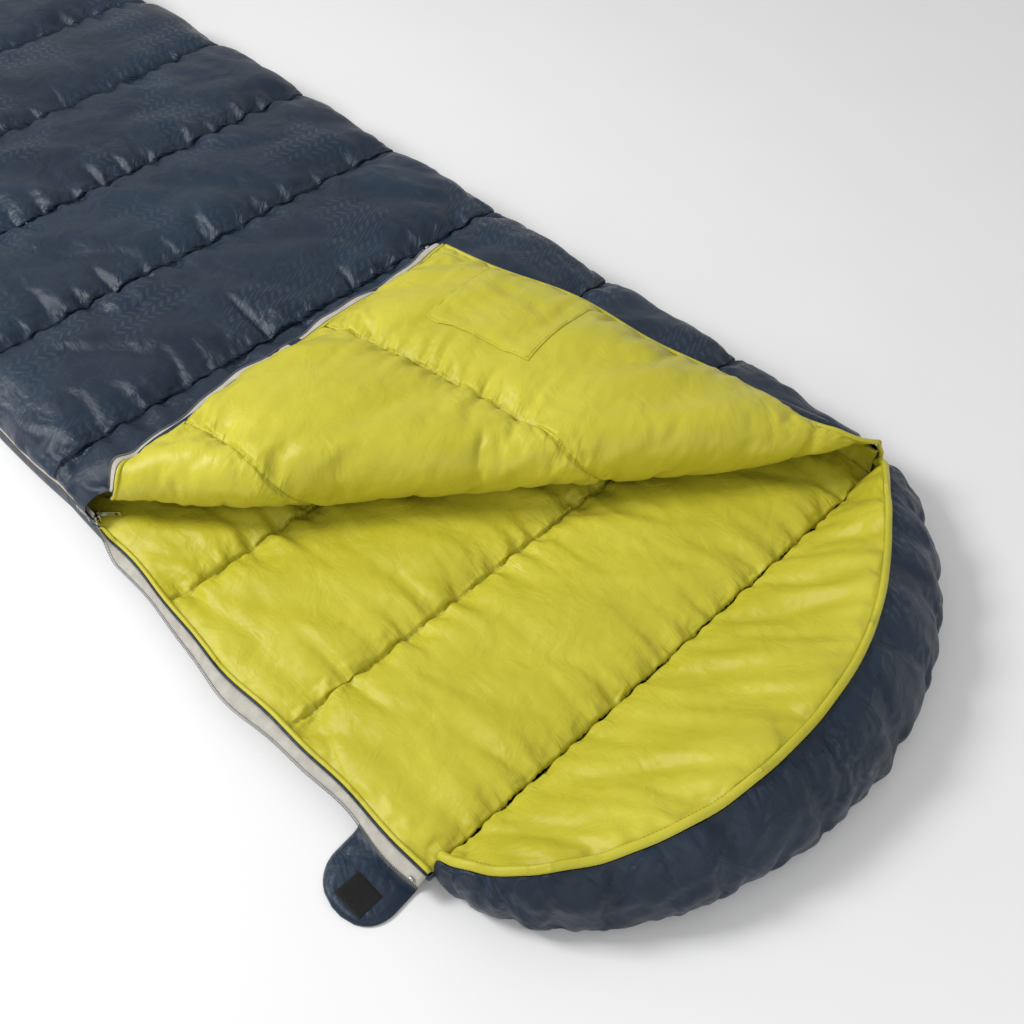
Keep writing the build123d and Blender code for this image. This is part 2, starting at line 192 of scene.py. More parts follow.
def fold_place(along, out, z):
    """The point at a distance along the fold and out over it, at height z."""
    x, y = (FOLD_AT[i] + ALONG[i] * along + OUT[i] * out for i in (0, 1))
    return stack(x, y, z)


def fold_parts(x, y):
    """Distance along the fold and out over it, for flat plan points."""
    dx, dy = x - FOLD_AT[0], y - FOLD_AT[1]
    return dx * ALONG[0] + dy * ALONG[1], dx * OUT[0] + dy * OUT[1]


# ---- meshes


class Grid:
    """A rectangular net of points: an object, its points in mm and its flat cloth coordinates."""

    def __init__(self, name, points, flat, material, keep=None, loop=False, least=0.4, shortest=-1.0):
        self.points = np.array(points, float)
        self.flat = np.array(flat, float)
        rows, columns = self.points.shape[:2]
        index = np.arange(rows * columns).reshape(rows, columns)
        if loop:
            nxt = np.roll(index, -1, axis=1)
        else:
            nxt = index[:, 1:]
            index = index[:, :-1]
        quads = np.stack([index[:-1], nxt[:-1], nxt[1:], index[1:]], axis=-1).reshape(-1, 4)
        if keep is not None:
            quads = quads[np.asarray(keep).ravel()[quads].all(axis=1)]
        corner = self.points.reshape(-1, 3)[quads]
        area = np.linalg.norm(np.cross(corner[:, 2] - corner[:, 0], corner[:, 3] - corner[:, 1]), axis=1) / 2
        sides = np.linalg.norm(corner - np.roll(corner, -1, axis=1), axis=-1)
        self.faces = []
        for quad, size, side in zip(quads.tolist(), area, sides):
            if size > least and side.min() <= shortest:
                del quad[int(side.argmin())]  # a collapsed side leaves a triangle
            if size > least:
                self.faces.append(quad)
        self.object = put(name, self.points.reshape(-1, 3), self.faces, material, self.flat.reshape(-1, 2))
        self.name = name

    def at(self, flat_x, flat_y):
        """Points on the sheet and its normals at flat cloth coordinates."""
        spread = np.concatenate([self.flat.reshape(-1, 2), np.zeros((self.flat.size // 2, 1))], axis=1)
        tree = BVHTree.FromPolygons([Vector(p) for p in spread], self.faces)
        shape = self.points.reshape(-1, 3)
        points, normals = [], []
        for x, y in zip(np.ravel(flat_x), np.ravel(flat_y)):
            near, _, face, _ = tree.find_nearest(Vector((x, y, 0)))
            corner = shape[self.faces[face]]
            weight = poly_3d_calc([Vector(spread[i]) for i in self.faces[face]], near)
            points.append(np.array(weight) @ corner)
            normals.append(unit(np.cross(corner[2] - corner[0], corner[-1] - corner[1])))
        return np.array(points), np.array(normals)


def put(name, points, faces, material, flat=None, soft=True):
    """Makes an object from points in mm; flat holds cloth coordinates in mm, one per point."""
    mesh = bpy.data.meshes.new(name)
    mesh.from_pydata((np.asarray(points) * MM).tolist(), [], faces)
    mesh.polygons.foreach_set("use_smooth", np.full(len(mesh.polygons), soft))
    if flat is not None:
        loops = np.empty(len(mesh.loops), int)
        mesh.loops.foreach_get("vertex_index", loops)
        layer = mesh.uv_layers.new(name="cloth")
        layer.data.foreach_set("uv", (np.asarray(flat)[loops] * MM).ravel())
    mesh.materials.append(material)
    thing = bpy.data.objects.new(name, mesh)
    bpy.context.collection.objects.link(thing)
    return thing


SWELL_FRAMES = 22
PRESSURE = 4.0
BENDING = 0.06
START_NOISE = 0.5  # mm, so that folds have somewhere to start
to_swell = []


def swell(grid, hold, slack, cap):
    """Asks for a cloth simulation: hold is 1 where stitched, slack the spare cloth, cap the most it moves."""
    shape = grid.points.shape[:2]
    rng = np.random.default_rng(len(grid.name) * 7 + 3)
    jitter = rng.normal(0, START_NOISE, shape) * (1 - np.clip(hold, 0, 1))
    grid.points[..., 2] += jitter
    write(grid)
    group = grid.object.vertex_groups.new(name="hold")
    for i, weight in enumerate(np.asarray(hold, float).ravel()):
        if weight > 0:
            group.add([i], float(min(weight, 1)), "REPLACE")
    cloth = grid.object.modifiers.new("cloth", "CLOTH")
    s = cloth.settings
    s.vertex_group_mass = "hold"
    s.quality = 4
    s.mass = 0.2
    s.tension_stiffness = 15
    s.compression_stiffness = 5
    s.shear_stiffness = 3
    s.bending_stiffness = BENDING
    s.air_damping = 3
    s.use_pressure = True
    s.uniform_pressure_force = PRESSURE
    s.shrink_min = -slack
    s.effector_weights.gravity = 0
    cloth.collision_settings.use_collision = False
    cloth.point_cache.frame_start = 1
    cloth.point_cache.frame_end = SWELL_FRAMES
    to_swell.append((grid, cap))


def write(grid):
    """Copies a grid's points to its mesh."""
    grid.object.data.vertices.foreach_set("co", (grid.points.reshape(-1, 3) * MM).ravel())
    grid.object.data.update()


def run_swelling():
    """Runs all the simulations together and keeps each result, moved no further than its cap."""
    for f in range(1, SWELL_FRAMES + 1):
        bpy.context.scene.frame_set(f)
    graph = bpy.context.evaluated_depsgraph_get()
    for grid, cap in to_swell:
        result = grid.object.evaluated_get(graph).to_mesh()
        moved = np.empty(len(result.vertices) * 3)
        result.vertices.foreach_get("co", moved)
        moved = moved.reshape(grid.points.shape) / MM
        step = moved - grid.points
        length = np.linalg.norm(step, axis=-1, keepdims=True) + 1e-9
        grid.points += step / length * cap * np.tanh(length / cap)
    for grid, cap in to_swell:
        grid.object.modifiers.clear()
        grid.object.vertex_groups.clear()
        write(grid)
    bpy.context.scene.frame_set(1)


def refine(thing):
    """Applies one level of subdivision."""
    modifier = thing.modifiers.new("fine", "SUBSURF")
    modifier.levels = modifier.render_levels = 1
    modifier.boundary_smooth = "PRESERVE_CORNERS"
    graph = bpy.context.evaluated_depsgraph_get()
    mesh = bpy.data.meshes.new_from_object(thing.evaluated_get(graph))
    thing.modifiers.clear()
    thing.data = mesh
    return thing


def groove(thing, depth=3.4, width=3.2):
    """Presses the stitched line of every quilting seam into a refined sheet, tighter at each stitch."""
    mesh = thing.data
    uv = np.empty(len(mesh.loops) * 2)
    mesh.uv_layers["cloth"].data.foreach_get("uv", uv)
    loops = np.empty(len(mesh.loops), int)
    mesh.loops.foreach_get("vertex_index", loops)
    flat = np.zeros((len(mesh.vertices), 2))
    flat[loops] = uv.reshape(-1, 2) / MM
    co, normal = np.empty(len(flat) * 3), np.empty(len(flat) * 3)
    mesh.vertices.foreach_get("co", co)
    mesh.vertex_normals.foreach_get("vector", normal)
    away = seam_near(flat[:, 1])
    press = np.exp(-((away / width) ** 2)) * (1 + 0.3 * np.sin(flat[:, 0] * math.tau / 9.2))
    flat_far = (flat[:, 1] > SEAM_Y - 6) & (flat[:, 1] < FOOT_Y - 6)
    co += (normal.reshape(-1, 3) * (-depth * MM * press * flat_far)[:, None]).ravel()
    mesh.vertices.foreach_set("co", co)
    mesh.update()


def join(name, things):
    """Joins objects into one of the given name."""
    bpy.ops.object.select_all(action="DESELECT")
    for thing in things:
        thing.select_set(True)
    bpy.context.view_layer.objects.active = things[0]
    bpy.ops.object.join()
    things[0].name = name
    things[0].data.name = name
    return things[0]


def arc_length(path, axis=0):
    """Distance travelled to each point of a path, or of every line of a net."""
    steps = np.linalg.norm(np.diff(path, axis=axis), axis=-1)
    return np.insert(np.cumsum(steps, axis=axis), 0, 0, axis=axis)


def frames_along(path, up):
    """Unit tangent, side and normal along a path; up is a rough normal, one or one per point."""
    tangent = unit(np.gradient(path, axis=0))
    side = unit(np.cross(np.broadcast_to(up, path.shape), tangent))
    return tangent, side, np.cross(tangent, side)


def close_ends(grid, faces):
    """Adds end faces, given as point numbers, and turns every face outwards."""
    work = bmesh.new()
    work.from_mesh(grid.object.data)
    work.verts.ensure_lookup_table()
    for face in faces:
        work.faces.new([work.verts[i] for i in face])
    bmesh.ops.recalc_face_normals(work, faces=work.faces[:])
    work.to_mesh(grid.object.data)
    work.free()


def band_ends(rows, across):
    """End faces of a flat band whose rings run across its top and back across its underside."""
    wide = 2 * across
    ends = []
    for start, way in ((0, 1), ((rows - 1) * wide, -1)):
        for k in range(across - 1):
            ends.append([start + i for i in (k, k + 1, wide - 2 - k, wide - 1 - k)][::way])
    return ends


def tube(name, path, width, height, material, up=(0, 0, 1), corners=8, closed_ends=True):
    """Oval tube along a path; width lies sideways and height along the normal. Both may vary."""
    path = np.asarray(path, float)
    tangent, side, normal = frames_along(path, np.asarray(up, float))
    angle = np.linspace(0, math.tau, corners, endpoint=False)
    w = np.broadcast_to(width, len(path))[:, None, None] / 2
    h = np.broadcast_to(height, len(path))[:, None, None] / 2
    cos, sin = np.cos(angle)[None, :, None], np.sin(angle)[None, :, None]
    points = path[:, None] + (side[:, None] * cos * w + normal[:, None] * sin * h)
    length = arc_length(path)
    flat = stack(angle[None, :] * np.mean(width) / 2, length[:, None])
    grid = Grid(name, points, flat, material, loop=True)
    if closed_ends:
        last = (len(path) - 1) * corners
        close_ends(grid, [range(corners)[::-1], range(last, last + corners)])
    return grid.object


def ribbon(name, inner, outer, thickness, material, across, bow):
    """Flat band between two edge lines, with real thickness; bow lifts its middle."""
    inner, outer = np.asarray(inner, float), np.asarray(outer, float)
    tangent = np.gradient((inner + outer) / 2, axis=0)
    normal = unit(np.cross(tangent, outer - inner))
    normal *= np.where(normal[:, 2:3] < -0.2, -1, 1)
    t = np.linspace(0, 1, across)[None, :, None]
    rise = bow * np.sin(math.pi * t) + thickness / 2
    top = inner[:, None] * (1 - t) + outer[:, None] * t + normal[:, None] * rise
    under = top[:, ::-1] - normal[:, None] * thickness
    points = np.concatenate([top, under], axis=1)
    length = arc_length((inner + outer) / 2)
    width = np.linalg.norm(outer - inner, axis=1).mean()
    around = np.concatenate([np.linspace(0, width, across), np.linspace(width, 0, across)])
    flat = stack(around[None, :], length[:, None])
    grid = Grid(name, points, flat, material, loop=True)
    close_ends(grid, band_ends(len(inner), across))
    return grid.object


def ring_faces(start, rings, sides):
    """Side faces between consecutive rings of points, numbered on from start."""
    faces = []
    for ring in range(start, start + (rings - 1) * sides, sides):
        for turn in range(sides):
            a, b = ring + turn, ring + (turn + 1) % sides
            faces.append([a, b, b + sides, a + sides])
    return faces


def stitches(name, path, normals, material, length=3.2, pitch=4.6, thick=0.75, lift=0.35):
    """A row of separate sewn stitches along a path of points in mm."""
    path, normals = np.asarray(path, float), np.asarray(normals, float)
    travel = arc_length(path)
    spots = np.arange(pitch / 2, travel[-1] - pitch / 2, pitch)
    points, faces = [], []
    profile = np.array([[-0.5, 0.25], [-0.3, 0.8], [0.3, 0.8], [0.5, 0.25]])
    for k, spot in enumerate(spots):
        at = between(spot, travel, path)
        run = unit(between(spot + 1, travel, path) - at)
        side = unit(np.cross(between(spot, travel, normals), run))
        up = np.cross(run, side)
        start = len(points)
        for along, size in profile:
            centre = at + run * along * length + up * (lift - (1 - size) * 0.5)
            for turn in range(5):
                a = math.tau * turn / 5 + math.pi / 2
                points.append(centre + (side * math.cos(a) + up * math.sin(a)) * thick / 2 * size)
        faces.extend(ring_faces(start, 4, 5))
        faces.append([start + i for i in range(5)][::-1])
        faces.append([start + 15 + i for i in range(5)])
    return put(name, points, faces, material)


# ---- materials
SEAM_PUCKER = 1.8  # how much stronger the puckers are at a seam
WEAVE = 0.0009  # metres from thread to thread of the cloth
DASH_ROW, DASH_PITCH = 0.016, 0.013  # metres between the rows of embossed dashes and along a row
TWILL, TWILL_TURN = 0.0011, 0.0016  # metres between the ribs of the zip tape and between their turns


def new_material(name):
    """A new material, its Principled shader's inputs, and makers for nodes, maths and links."""
    material = bpy.data.materials.new(name)
    material.use_nodes = True
    tree = material.node_tree
    shader = tree.nodes["Principled BSDF"].inputs

    def add(kind, inputs, out=0, **settings):
        """Makes a node and returns one of its outputs."""
        node = tree.nodes.new("ShaderNode" + kind)
        for key, value in settings.items():
            setattr(node, key, value)
        for key, value in inputs.items():
            if isinstance(value, bpy.types.NodeSocket):
                tree.links.new(value, node.inputs[key])
            else:
                node.inputs[key].default_value = value
        return node.outputs[out]

    def calc(operation, a, b=0.0, c=0.0):
        return add("Math", {0: a, 1: b, 2: c}, operation=operation)

    def link(key, output):
        tree.links.new(output, shader[key])

    return material, shader, add, calc, link


def noise(add, vector, scale, detail, **more):
    return add("TexNoise", {"Vector": vector, "Scale": scale, "Detail": detail, **more})


def remap(add, value, low, high, to_low=0.0, to_high=1.0):
    return add("MapRange", {"Value": value, 1: low, 2: high, 3: to_low, 4: to_high})


def tinted(add, share, shade, colour):
    """Colour that goes from shade to colour as share goes from 0 to 1; shade may be a socket."""
    first = shade if isinstance(shade, bpy.types.NodeSocket) else (*shade, 1)
    return add("Mix", {0: share, 6: first, 7: (*colour, 1)}, out=2, data_type="RGBA")


def bump(add, height, distance, strength, below=None):
    inputs = {"Height": height, "Distance": distance, "Strength": strength}
    return add("Bump", inputs if below is None else {**inputs, "Normal": below})


def cloth_material(name, colour, shade, rough, sheen, crinkle, dashes=0.0):
    """Woven cloth: its colour drifts to shade, with creases, seam puckers, a weave and maybe dashes."""
    material, shader, add, calc, link = new_material(name)
    uv = add("UVMap", {}, uv_map="cloth")
    place = add("TexCoord", {}, out="Object")
    drift = noise(add, place, 5.5, 5.0, Roughness=0.6)
    along, across = (add("SeparateXYZ", {0: uv}, out=axis) for axis in (0, 1))

    # creases: soft ones any way, and puckers that run away from the nearest quilting seam
    stretched = add("Mapping", {"Vector": uv, "Scale": (1.0, 0.3, 1.0)})
    soft = noise(add, uv, 22.0, 3.0, Roughness=0.5, Distortion=0.9)
    pucker = noise(add, stretched, 85.0, 2.0, Distortion=0.5)
    bay = calc("FRACT", calc("MULTIPLY", calc("SUBTRACT", across, SEAM_Y * MM), 1 / (BAY * MM)))
    near = calc("ABSOLUTE", calc("SUBTRACT", bay, 0.5))
    close = calc("POWER", calc("MULTIPLY", near, 2.0), 9.0)
    pucker = calc("MULTIPLY", pucker, calc("MULTIPLY_ADD", close, SEAM_PUCKER, 0.15))

    # plain weave of two crossing threads
    warp, weft = (calc("SINE", calc("MULTIPLY", way, math.tau / WEAVE)) for way in (along, across))
    relief = bump(add, soft, crinkle, 0.8)
    relief = bump(add, pucker, crinkle * 1.2, 0.8, relief)
    relief = bump(add, calc("MULTIPLY", warp, weft), WEAVE * 0.12, 0.35, relief)

    tint = tinted(add, remap(add, drift, 0.32, 0.7), shade, colour)
    gloss = remap(add, soft, 0.3, 0.7, rough - 0.05, rough + 0.07)
    if dashes:
        # short slanted dashes in rows that lean to and fro, pressed only in patches
        row = calc("MULTIPLY", across, 1 / DASH_ROW)
        lean = calc("MULTIPLY", calc("MODULO", calc("FLOOR", row), 2.0), 2.0)
        lean = calc("SUBTRACT", lean, 1.0)
        inside = calc("SUBTRACT", calc("FRACT", row), 0.5)
        place = calc("MULTIPLY", along, 1 / DASH_PITCH)
        slant = calc("MULTIPLY_ADD", calc("MULTIPLY", inside, 0.8), lean, place)
        dash = calc("LESS_THAN", calc("FRACT", slant), 0.42)
        dash = calc("MULTIPLY", dash, calc("LESS_THAN", calc("ABSOLUTE", inside), 0.36))
        patch = remap(add, noise(add, uv, 7.0, 1.0), 0.5, 0.6)
        dash = calc("MULTIPLY", dash, patch)
        paler = tuple(min(1.0, c * 1.5 + 0.008) for c in colour)
        tint = tinted(add, calc("MULTIPLY", dash, dashes), tint, paler)
        gloss = calc("MULTIPLY_ADD", dash, -0.1, gloss)
        relief = bump(add, dash, 0.0004, 0.4, relief)
    link("Base Color", tint)
    link("Roughness", gloss)
    link("Normal", relief)
    shader["Sheen Weight"].default_value = sheen
    shader["Sheen Roughness"].default_value = 0.45
    shader["Specular IOR Level"].default_value = 0.34
    return material


def tape_material(name, colour, shade):
    """Herringbone-woven zip tape."""
    material, shader, add, calc, link = new_material(name)
    uv = add("UVMap", {}, uv_map="cloth")
    across, along = (add("SeparateXYZ", {0: uv}, out=axis) for axis in (0, 1))
    slope = calc("ADD", along, calc("PINGPONG", across, TWILL_TURN))
    twill = calc("SINE", calc("MULTIPLY", slope, math.tau / TWILL))
    drift = noise(add, uv, 60.0, 4.0)
    share = remap(add, calc("MULTIPLY_ADD", twill, 0.16, drift), 0.3, 0.75)
    link("Base Color", tinted(add, share, shade, colour))
    link("Normal", bump(add, twill, 0.00018, 0.6))
    link("Roughness", remap(add, drift, 0.0, 1.0, 0.7, 0.9))
    shader["Sheen Weight"].default_value = 0.25
    return material


def solid_material(name, colour, shade, rough, metal=0.0, scale=400.0, depth=0.00008, stretch=(1, 1, 1)):
    """Metal, moulded plastic or thread: fine grain in its colour, gloss and surface."""
    material, shader, add, calc, link = new_material(name)
    place = add("TexCoord", {}, out="Object")
    grain = add("Mapping", {"Vector": place, "Scale": stretch})
    fine = noise(add, grain, scale, 4.0)
    wear = noise(add, place, scale * 0.2, 3.0)
    link("Base Color", tinted(add, wear, shade, colour))
    link("Roughness", remap(add, fine, 0.25, 0.75, rough - 0.07, rough + 0.1))
    link("Normal", bump(add, fine, depth, 0.5))
    shader["Metallic"].default_value = metal
    return material


LIME = cloth_material("lime_satin", (0.58, 0.53, 0.042), (0.47, 0.43, 0.022), 0.36, 0.03, 0.0042)
NAVY = cloth_material("navy_shell_cloth", (0.0098, 0.0252, 0.0485), (0.0047, 0.0122, 0.027),
                      0.38, 0.02, 0.0046, dashes=0.6)
TAPE = tape_material("zip_tape_weave", (0.58, 0.55, 0.48), (0.4, 0.375, 0.33))
COIL = solid_material("zip_coil_plastic", (0.2, 0.19, 0.17), (0.13, 0.125, 0.115), 0.42, scale=900.0)
thread = {"rough": 0.6, "scale": 2500.0, "depth": 0.0001}
THREAD_LIME = solid_material("lime_thread", (0.3, 0.34, 0.02), (0.2, 0.23, 0.012), **thread)
THREAD_NAVY = solid_material("navy_thread", (0.012, 0.022, 0.04), (0.006, 0.012, 0.025), **thread)
brushed = {"metal": 1.0, "stretch": (1, 0.15, 1)}
METAL = solid_material("zip_metal_plate", (0.62, 0.61, 0.58), (0.42, 0.41, 0.39), 0.3, **brushed)
PULL = solid_material("pull_metal_plate", (0.6, 0.59, 0.57), (0.36, 0.355, 0.34), 0.34, **brushed)
BLACK = solid_material("black_hook_and_loop", (0.012, 0.012, 0.013), (0.005, 0.005, 0.006), 0.85,
                       scale=1600.0, depth=0.0006)

# ---- base: lining, hem and underside


def closer(t):
    """Spreads even places over a bay so that they crowd towards its seams."""
    return t - 0.09 * np.sin(math.tau * t)


def bay_rows(first, last, fine_until):
    """Row places from first to last, closer together up to fine_until, with a row on every seam."""
    rows = []
    for bay in range(BAYS):
        start = SEAM_Y + bay * BAY
        step = FINE if start < fine_until else COARSE
        rows.extend(start + BAY * closer(np.arange(round(BAY / step)) / round(BAY / step)))
    rows.append(FOOT_Y)
    rows = np.array(rows)
    inside = rows[(rows > first + 2) & (rows < last - 2)]
    return np.concatenate([[first], inside, [last]])


def seam_near(y):
    """Distance in mm from the nearest quilting seam."""
    part = bay_part(y)
    return np.minimum(part, 1 - part) * BAY


def on_seam(y):
    return seam_near(y) < 0.5


def quilt(x, y, seed, depth=12.0, gather=6.2):
    """Relief of a quilted layer above its seams, before the cloth swells: crowns, puckers and folds."""
    away = seam_near(y)
    crown = (1 - np.clip(1 - away / (BAY / 2), 0, 1) ** 2.6) ** 0.55
    pleat = creases(x, y * 0.2, 34, seed) * np.exp(-away / 46) * np.clip(away / 7, 0, 1)
    small = ripple(x, y * 0.3, 17, seed + 2) * np.exp(-away / 16) * np.clip(away / 4, 0, 1)
    roll = creases(x + 0.5 * y, 0.5 * y, 105, seed + 5) * np.clip(away / 30, 0, 1)
    return depth * crown + gather * pleat + 3.0 * small + 4.6 * roll


rows = bay_rows(SEAM_Y, FOOT_Y, SEAM_Y + OPEN_BAYS * BAY)
columns = np.linspace(0, 1, 121)
Y, S = np.meshgrid(rows, columns, indexing="ij")
X = mix(zip_edge(Y) - 1, sewn_edge(Y) - 4, S)
rise = quarter(X - zip_edge(Y), 55) * quarter(sewn_edge(Y) - X, 55)
Z = mix(EDGE_Z - 4, SEAM_Z - 1 + quilt(X, Y, 11), rise)
hidden = smooth((fold_parts(X, Y)[1] * -1 - 40) / 60)
Z = mix(Z, np.minimum(Z, 40), hidden)
floor_lining = Grid("lining_floor", stack(X, Y, Z), stack(X, Y), LIME)
hold = on_seam(Y) | (S < 0.004) | (S > 0.996) | (Y > FOOT_Y - 3)
swell(floor_lining, np.maximum(hold, hidden * 0.7), 0.09, 9)

# underside and sides of the base, one navy sheet from hem to hem
side_left = np.array([(0.5, EDGE_Z - 4), (-4, EDGE_Z - 9), (-7, 22), (-6, 10), (-1, 3), (9, 0.6)])
side_right = side_left[::-1] * (-1, 1)
belly = np.linspace(0, 1, 27)[1:-1]
rows = bay_rows(SEAM_Y, FOOT_Y, SEAM_Y)
profile_x, profile_z = [], []
for y in rows:
    bulge = 0.35 + 0.65 * puff(y)
    low = 0.6 + 3.5 * (1 - puff(y, 6))
    left = zip_edge(y) + side_left[:, 0] * bulge
    right = sewn_edge(y) + side_right[:, 0] * bulge
    profile_x.append(np.concatenate([left, mix(left[-1], right[0], belly), right])[::-1])
    lift = np.maximum(side_left[:, 1], low)
    profile_z.append(np.concatenate([lift, np.full(len(belly), low), lift[::-1]])[::-1])
X, Z = np.array(profile_x), np.array(profile_z)
points = stack(X, rows[:, None], Z)
head_end, foot_end = points[:1] + (0, 0.6, 0), points[-1:] + (0, 2.5, 0)
head_end[..., 2] = np.maximum(head_end[..., 2], SEAM_Z - 2)
foot_end[..., 2] = np.maximum(foot_end[..., 2], 34)
points = np.concatenate([head_end, points, foot_end])
under = Grid("shell_underside", points, points[..., :2], NAVY)

# lining of the closed cover, which faces down onto the base
rows = bay_rows(SEAM_Y, FOOT_Y, SEAM_Y)
Y, S = np.meshgrid(rows, np.linspace(1, 0, 50), indexing="ij")
left, right = cover_edge(Y) + 4, sewn_edge(Y) - 3
X = mix(left, right, S)
past = fold_parts(X, Y)[1] + NOSE - 8
X = np.where(past > 0, np.minimum(X + past / -OUT[0], right), X)
inside = fold_parts(X, Y)[1] < -NOSE + 8.5
Z = COVER_UNDER + 9 - 6 * puff(Y)
cover_lining = Grid("cover_lining", stack(X, Y, Z), stack(X, Y), LIME, keep=inside)

# ---- closed part of the cover


def cover_top(x, y):
    """Height of the cover's navy side in its closed place."""
    return COVER_Z - 14.5 + quilt(x, y, 31, 13.0, 7.0)


def past_fold(x, y):
    return fold_parts(x, y)[1]


def fold_bow(along):
    """How far the fold's nose stands out beyond the straight fold line, along its length."""
    return 2 + 25 * smooth(along / 200) - 35 * np.clip(along / 1019, 0, 1.1) ** 3


def inner_limit(x, y):
    """How far out the navy cloth inside the fold may reach."""
    return np.minimum(0, fold_bow(fold_parts(x, y)[0]) - 7)


rows = bay_rows(SEAM_Y, FOOT_Y, SEAM_Y + 6 * BAY)
over = np.linspace(0, 1, 112)
left_drop = np.array([(3, 53), (-4, 57), (-7, 65), (-5, 74)])
right_drop = np.array([(6, 76), (9, 64), (8, 54), (4, 44), (-1, 35)])
Y, S = np.meshgrid(rows, over, indexing="ij")
left_x, right_x = cover_edge(Y) + 2, sewn_edge(Y)
X = mix(left_x, right_x, S)
past = past_fold(X, Y) - inner_limit(X, Y)
X = np.where(past > 0, np.minimum(X + past / -OUT[0], right_x), X)
lift = quarter(X - left_x, 95) * quarter(right_x - X, 80)
Z = mix(78.0, cover_top(X, Y), lift)
past = past_fold(X, Y) - inner_limit(X, Y)
Z = mix(Z, FOLD_Z - 1.0, smooth(1 + past / 30) * lift)
bulge = (0.4 + 0.6 * puff(rows))[:, None]
sides = []
for drop, edge in ((left_drop, cover_edge(rows)), (right_drop, sewn_edge(rows))):
    sides.append(stack(edge[:, None] + drop[:, 0] * bulge, rows[:, None], drop[:, 1]))
points = np.concatenate([sides[0], stack(X, Y, Z), sides[1]], axis=1)
foot_end = points[-1:] + (0, 2.5, 0)
foot_end[..., 2] = np.minimum(foot_end[..., 2], 30)
points = np.concatenate([points, foot_end])
X, Y = points[..., 0], points[..., 1]
travel = arc_length(points[..., ::2], axis=1)
flat = stack(travel - 413, Y)
beyond = past_fold(X, Y) - inner_limit(X, Y)
inside = beyond <= 0.2
inside[:, -6:] = True
keep = inside.copy()
keep[:-1] |= inside[1:]
keep[1:] |= inside[:-1]
keep[:, 1:] |= keep[:, :-1]
cover = Grid("cover_shell", points, flat, NAVY, keep=keep, shortest=0.3)
edge_hold = np.zeros(points.shape[:2], bool)
edge_hold[:, :2] = edge_hold[:, -2:] = True
hold = edge_hold | on_seam(Y) | (beyond > -6) | (Y > FOOT_Y - 3) | (Y < SEAM_Y + 3)
swell(cover, hold, 0.09, 11)

# ---- corner folded back
HEM_Y = SEAM_Y + 2
FLAP_CORNER_X = -318.0
FLAP_FAR_X = 393.0
FLAP_LOW = FOLD_Z + 6
FLAP_TOP = FOLD_Z + NOSE


def flap_left(y):
    """Closed zip edge of the folded corner."""
    slant = mix(FOLD_AT[0], FLAP_CORNER_X - 2, np.clip((-300 - y) / 490, 0, 1))
    return slant + 30 * np.exp(-(((y - FOLD_AT[1]) / 60) ** 2)) + 1.8 * np.sin(y / 31.0)


def flap_height(x, y):
    """Height of the folded corner's lime side above the flap's lowest level."""
    along, out = fold_parts(x, y)
    from_zip = (x - flap_left(y)) * 0.995
    from_hem = y - HEM_Y
    full = FLAP_TOP - FLAP_LOW
    body = quarter(from_zip, 100) * quarter(from_hem, 95)
    body *= mix(0.35, 1.0, smooth((990 - along) / 300))
    fall = mix(0.62, 1.0, smooth(1 - (out - NOSE) / 330))
    return 3 + body * (full * fall - 17 + quilt(x, y, 53, 12.0, 6.2))


def flap_place(x, y):
    """Where a point of the corner's lime side lies when it is folded back; x and y are closed."""
    along, out = fold_parts(x, y)
    size = mix(0.3, 1.0, smooth((1010 - along) / 260)) * mix(0.62, 1.0, smooth((along + 10) / 200))
    radius = NOSE * size
    middle = FOLD_Z + 2
    bow = fold_bow(along)
    y_wave = (-15 * np.exp(-(((x + 130) / 120) ** 2)) + 4 * np.sin(x / 43.0)) * smooth(1 - (y - HEM_Y) / 130)
    along, out = fold_parts(x, y + y_wave)
    angle = np.clip(out / NOSE, -1, 1) * math.pi / 2
    round_out = -radius + radius * np.cos(angle)
    round_z = middle + radius * np.sin(angle)
    place_out = np.where(np.abs(out) < NOSE, round_out, -np.abs(out) + NOSE - radius)
    shift = bow * smooth(1 - (np.maximum(out, 0) - 20) / 160)
    place_out = place_out + shift
    level = mix(round_z, FLAP_LOW + flap_height(x, y), smooth(out / NOSE - 0.55))
    return fold_place(along, place_out, level)


def corner_net(fine_until, columns, margin):
    """Closed places of the corner's points; those more than margin before the fold are drawn up to it."""
    rows = bay_rows(HEM_Y, FOOT_Y, fine_until)
    Y, S = np.meshgrid(rows[rows < FOLD_AT[1] + 74], columns, indexing="ij")
    left = flap_left(Y)
    X = mix(left, FLAP_FAR_X, S)
    out = past_fold(X, Y) + margin(X, Y)
    inside = out > 0
    keep = inside.copy()
    keep[:, 1:] |= inside[:, :-1]
    keep[:, :-1] |= inside[:, 1:]
    keep[:-1] |= inside[1:]
    return np.maximum(np.where(inside, X, X + out / -OUT[0]), left), Y, left, keep


X, Y, left, keep = corner_net(FOOT_Y, np.linspace(1, 0, 118), lambda x, y: NOSE)
out = past_fold(X, Y)
points = flap_place(X, Y)
flap = Grid("flap_lining_quilt", points, stack(X, Y), LIME, keep=keep)
hold = on_seam(Y) | (X < left + 3) | (Y < HEM_Y + 1) | (out < -NOSE + 4) | (X > FLAP_FAR_X - 4)
swell(flap, hold, 0.08, 11)

